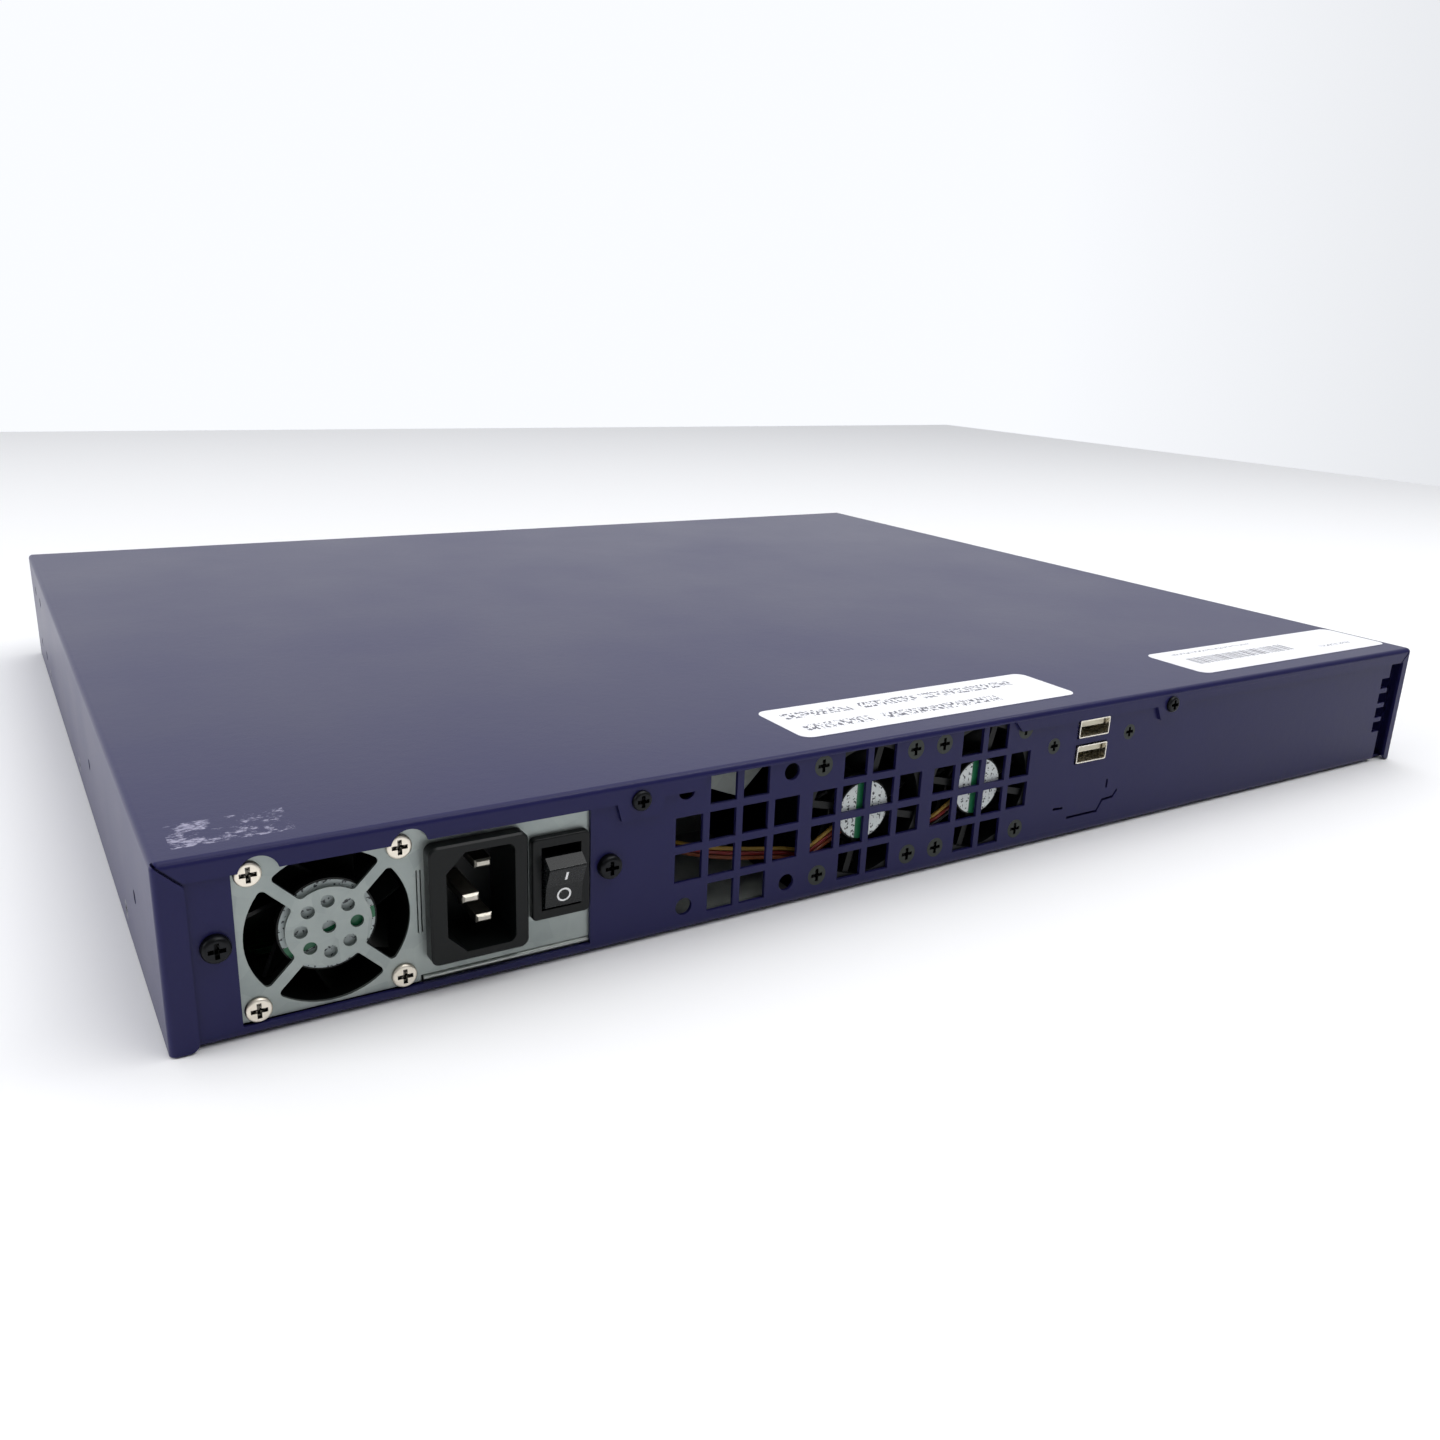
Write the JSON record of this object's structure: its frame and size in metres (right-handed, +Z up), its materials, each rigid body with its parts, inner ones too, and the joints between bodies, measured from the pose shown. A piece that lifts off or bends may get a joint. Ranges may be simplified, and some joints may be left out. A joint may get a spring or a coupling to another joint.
{
  "type": "firewall appliance",
  "caption": "Slim rack-height steel network appliance with a wrap cover, rear mains inlet and switch, fans behind square grids, service sockets, front display, keys and network jacks.",
  "frame": {"origin": "middle of the underside, half way between the cover's sides and its front and rear flanges", "axes": "+Z up, +Y towards the rear panel with the mains inlet, -Y towards the front, +X towards the supply side"},
  "size_m": [0.44, 0.369, 0.0441],
  "materials": {
    "case_paint": "satin",
    "galvanised_steel": "satin",
    "nickel_plate": "polished",
    "black_zinc_screw": "satin",
    "black_nylon": "matte",
    "rocker_plastic": "satin",
    "fan_plastic": "matte",
    "label_paper": "matte",
    "cream_plastic": "matte",
    "key_plastic": "matte",
    "display_acrylic": "polished",
    "display_bezel": "satin",
    "lamp_acrylic": "polished",
    "board_laminate": "satin",
    "gold_contact": "polished",
    "brass_standoff": "satin",
    "sink_aluminium": "satin",
    "drive_casting": "satin",
    "chip_resin": "matte",
    "wire_jacket": "satin"
  },
  "bodies": {
    "chassis": {"base_pan": "case_paint", "top_cover": "case_paint", "front_panel": "case_paint", "rear_cover_screws": "black_zinc_screw", "side_cover_screws": "black_zinc_screw", "supply_cover": "galvanised_steel", "supply_case": "galvanised_steel", "supply_screws": "black_zinc_screw", "supply_fan_screws": "nickel_plate", "supply_board": "board_laminate", "supply_fan_frame": "fan_plastic", "case_fan_1_frame": "fan_plastic", "case_fan_2_frame": "fan_plastic", "fan_labels": "label_paper", "case_fan_screws": "black_zinc_screw", "power_inlet": "black_nylon", "inlet_pins": "nickel_plate", "rocker_frame": "black_nylon", "usb_shells": "nickel_plate", "usb_tongues": "cream_plastic", "usb_board": "board_laminate", "usb_screws": "black_zinc_screw", "display_window": "display_acrylic", "display_module": "display_bezel", "keypad_board": "board_laminate", "lamp_board": "board_laminate", "light_pipes": "lamp_acrylic", "lan_jacks": "nickel_plate", "console_jack": "nickel_plate", "jack_contacts": "gold_contact", "main_board": "board_laminate", "standoffs": "brass_standoff", "board_screws": "nickel_plate", "board_chips": "chip_resin", "processor_heatsink": "sink_aluminium", "bridge_heatsink": "sink_aluminium", "board_sockets": "cream_plastic", "memory_modules": "board_laminate", "flash_card": "chip_resin", "coin_cell": "nickel_plate", "cell_holder": "chip_resin", "board_capacitors": "chip_resin", "power_plug": "cream_plastic", "fan_leads": "wire_jacket", "supply_leads": "wire_jacket", "hard_drive": "drive_casting", "drive_bracket": "galvanised_steel", "drive_screws": "nickel_plate", "duct_plate": "galvanised_steel", "asset_label": "label_paper", "serial_label": "label_paper"},
    "supply_fan_rotor": {"supply_fan_rotor": "fan_plastic"},
    "case_fan_1_rotor": {"case_fan_1_rotor": "fan_plastic"},
    "case_fan_2_rotor": {"case_fan_2_rotor": "fan_plastic"},
    "power_rocker": {"power_rocker": "rocker_plastic"},
    "key_up": {"key_up": "key_plastic"},
    "key_down": {"key_down": "key_plastic"},
    "key_left": {"key_left": "key_plastic"},
    "key_right": {"key_right": "key_plastic"},
    "reset_button": {"reset_button": "key_plastic"}
  },
  "joints": [
    {"name": "supply_fan_spin", "type": "hinge", "parent": "chassis", "child": "supply_fan_rotor", "pos_m": [0.1855, 0.1698, 0.0217], "axis": [0, 1, 0], "continuous": true},
    {"name": "case_fan_1_spin", "type": "hinge", "parent": "chassis", "child": "case_fan_1_rotor", "pos_m": [0.0381, 0.1706, 0.0229], "axis": [0, 1, 0], "continuous": true},
    {"name": "case_fan_2_spin", "type": "hinge", "parent": "chassis", "child": "case_fan_2_rotor", "pos_m": [-0.0045, 0.1706, 0.0229], "axis": [0, 1, 0], "continuous": true},
    {"name": "power_rocker_tilt", "type": "hinge", "parent": "chassis", "child": "power_rocker", "pos_m": [0.1311, 0.1789, 0.0232], "axis": [1, 0, 0], "range_deg": [0, 32]},
    {"name": "key_up_press", "type": "slide", "parent": "chassis", "child": "key_up", "axis": [0, 1, 0], "range_m": [0, 0.0008], "stiffness_N_per_m": 600},
    {"name": "key_down_press", "type": "slide", "parent": "chassis", "child": "key_down", "axis": [0, 1, 0], "range_m": [0, 0.0008], "stiffness_N_per_m": 600},
    {"name": "key_left_press", "type": "slide", "parent": "chassis", "child": "key_left", "axis": [0, 1, 0], "range_m": [0, 0.0008], "stiffness_N_per_m": 600},
    {"name": "key_right_press", "type": "slide", "parent": "chassis", "child": "key_right", "axis": [0, 1, 0], "range_m": [0, 0.0008], "stiffness_N_per_m": 600},
    {"name": "reset_button_press", "type": "slide", "parent": "chassis", "child": "reset_button", "axis": [0, 1, 0], "range_m": [0, 0.0008], "stiffness_N_per_m": 600}
  ]
}
